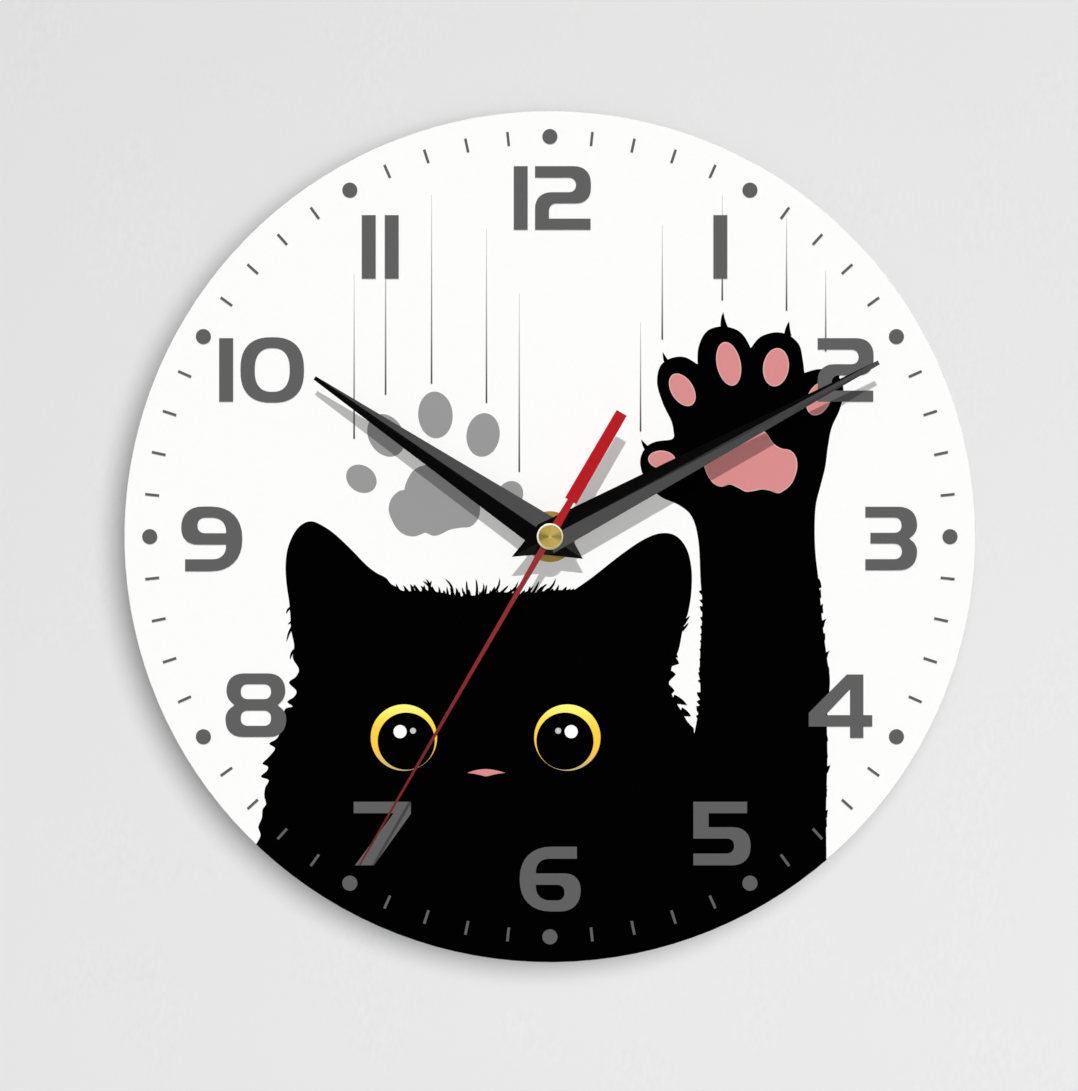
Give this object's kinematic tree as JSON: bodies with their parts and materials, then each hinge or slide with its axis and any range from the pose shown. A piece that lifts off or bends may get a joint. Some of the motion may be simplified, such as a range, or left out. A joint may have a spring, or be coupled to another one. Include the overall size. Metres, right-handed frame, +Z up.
{
  "type": "wall clock",
  "caption": "Frameless round wall clock, printed cat dial, faceted black hour and minute hands, red second hand and a battery quartz movement behind.",
  "frame": {"origin": "the point of the wall plane (the movement's back face) behind the axis of the hands", "axes": "+Z is up towards 12 o'clock, the dial faces -Y, +Y points into the wall, +X is the viewer's right (3 o'clock)"},
  "size_m": [0.25, 0.0322, 0.25],
  "materials": {
    "dial_white": "printed satin board",
    "case_black": "fine moulded texture",
    "cover_black": "satin moulded",
    "plate_white": "natural moulded plastic",
    "gasket_rubber": "matt",
    "washer_brass": "turned, satin",
    "nut_brass": "satin",
    "bushing_brass": "cut thread, bright",
    "cap_brass": "fine turned rings",
    "collar_brass": "satin",
    "motor_iron": "stamped sheet",
    "arbor_steel": "ground",
    "spring_steel": "blued lightly",
    "contact_nickel": "nickel plated",
    "bobbin_red": "glossy",
    "copper_wire": "enamelled wire",
    "board_green": "solder mask",
    "resin_black": "glossy resin",
    "crystal_can": "drawn can",
    "magnet_ferrite": "sintered",
    "gear_white": "moulded",
    "gear_blue": "moulded",
    "gear_amber": "moulded",
    "tube_black": "moulded",
    "knob_black": "knurled",
    "hand_black": "satin paint",
    "hand_red": "satin paint",
    "cell_steel": "plated can",
    "sleeve_print": "plain printed sleeve",
    "ink_black": "printed ink",
    "ink_grey": "printed ink",
    "ink_pale_grey": "printed ink",
    "ink_pink": "printed ink",
    "ink_yellow": "printed ink, lemon to amber",
    "ink_white": "printed ink"
  },
  "bodies": {
    "case": {"dial_board": "dial_white", "brass_washer": "washer_brass", "hex_nut": "nut_brass", "rubber_gasket": "gasket_rubber", "movement_case": "case_black", "back_cover": "cover_black", "train_plate": "plate_white", "threaded_bushing": "bushing_brass", "stator": "motor_iron", "coil_core": "motor_iron", "coil_bobbin": "bobbin_red", "coil_winding": "copper_wire", "coil_leads": "copper_wire", "circuit_board": "board_green", "clock_chip": "resin_black", "quartz_crystal": "crystal_can", "contact_positive": "contact_nickel", "contact_negative": "contact_nickel"},
    "rotor": {"rotor_magnet": "magnet_ferrite", "rotor_pinion": "gear_white"},
    "intermediate": {"intermediate_wheel": "gear_amber", "intermediate_arbor": "arbor_steel"},
    "seconds": {"seconds_wheel": "gear_white", "seconds_arbor": "arbor_steel", "second_hand": "hand_red", "second_cap": "cap_brass"},
    "third": {"third_wheel": "gear_blue", "third_arbor": "arbor_steel"},
    "centre": {"centre_wheel": "gear_white"},
    "minutes": {"minute_arbor": "collar_brass", "clutch_spring": "spring_steel", "minute_hand": "hand_black", "minute_collar": "collar_brass"},
    "motion": {"minute_wheel": "gear_white"},
    "hours": {"hour_wheel": "tube_black", "hour_hand": "hand_black", "hour_collar": "collar_brass"},
    "knob": {"setting_knob": "knob_black"},
    "battery": {"battery_cell": "cell_steel", "battery_sleeve": "sleeve_print"}
  },
  "joints": [
    {"name": "seconds_turn", "type": "hinge", "parent": "case", "child": "seconds", "pos_m": [0, 0, 0], "axis": [0, 1, 0], "continuous": true},
    {"name": "third_turn", "type": "hinge", "parent": "case", "child": "third", "pos_m": [-0.00918, 0, 0], "axis": [0, 1, 0], "continuous": true},
    {"name": "centre_turn", "type": "hinge", "parent": "case", "child": "centre", "pos_m": [0, 0, 0], "axis": [0, 1, 0], "continuous": true},
    {"name": "intermediate_turn", "type": "hinge", "parent": "case", "child": "intermediate", "pos_m": [0, 0, 0.00945], "axis": [0, 1, 0], "continuous": true},
    {"name": "rotor_turn", "type": "hinge", "parent": "case", "child": "rotor", "pos_m": [-0.0033, 0, 0.01517], "axis": [0, 1, 0], "continuous": true},
    {"name": "minute_turn", "type": "hinge", "parent": "case", "child": "minutes", "pos_m": [0, 0, 0], "axis": [0, 1, 0], "continuous": true},
    {"name": "motion_turn", "type": "hinge", "parent": "case", "child": "motion", "pos_m": [0.008, 0, 0], "axis": [0, 1, 0], "continuous": true},
    {"name": "hour_turn", "type": "hinge", "parent": "case", "child": "hours", "pos_m": [0, 0, 0], "axis": [0, 1, 0], "continuous": true},
    {"name": "knob_turn", "type": "hinge", "parent": "case", "child": "knob", "pos_m": [0.01314, 0, 0.00613], "axis": [0, 1, 0], "continuous": true},
    {"name": "battery_slide", "type": "slide", "parent": "case", "child": "battery", "axis": [0, 1, 0], "range_m": [0, 0.02]}
  ],
  "couplings": [
    {"joint": "intermediate_turn", "follows": "seconds_turn", "ratio": -6},
    {"joint": "rotor_turn", "follows": "seconds_turn", "ratio": 30},
    {"joint": "third_turn", "follows": "seconds_turn", "ratio": -0.13333},
    {"joint": "centre_turn", "follows": "seconds_turn", "ratio": 0.016667},
    {"joint": "motion_turn", "follows": "minute_turn", "ratio": -0.33333},
    {"joint": "hour_turn", "follows": "minute_turn", "ratio": 0.083333},
    {"joint": "knob_turn", "follows": "minute_turn", "ratio": 1}
  ]
}
